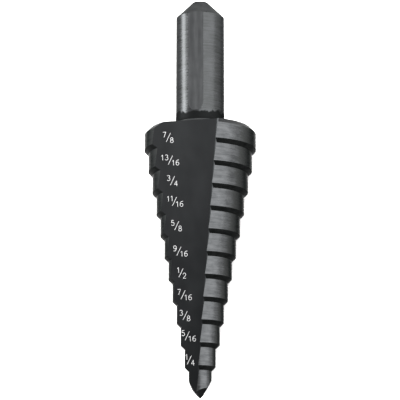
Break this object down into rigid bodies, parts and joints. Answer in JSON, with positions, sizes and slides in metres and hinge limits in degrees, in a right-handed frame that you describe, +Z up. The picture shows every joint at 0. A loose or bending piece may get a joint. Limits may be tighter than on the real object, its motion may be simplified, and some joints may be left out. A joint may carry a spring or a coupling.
{
  "type": "step drill",
  "caption": "Two-flute step drill for sheet metal: a split point, a stack of relieved steps that widen towards the shank, and a round shank with drive flats.",
  "frame": {"origin": "on the drill's axis, where the shank's round wall ends at its end chamfer", "axes": "+X level, from the point towards the shank's end; +Z up as the drill rests on its steps with the front flute uppermost; the drill's axis climbs about 7 degrees towards the shank in the XZ plane"},
  "size_m": [0.0785, 0.022, 0.018],
  "materials": {
    "black_oxide_steel": "black oxide over ground steel, satin"
  },
  "bodies": {
    "root": {"step_drill": "black_oxide_steel"}
  },
  "joints": []
}
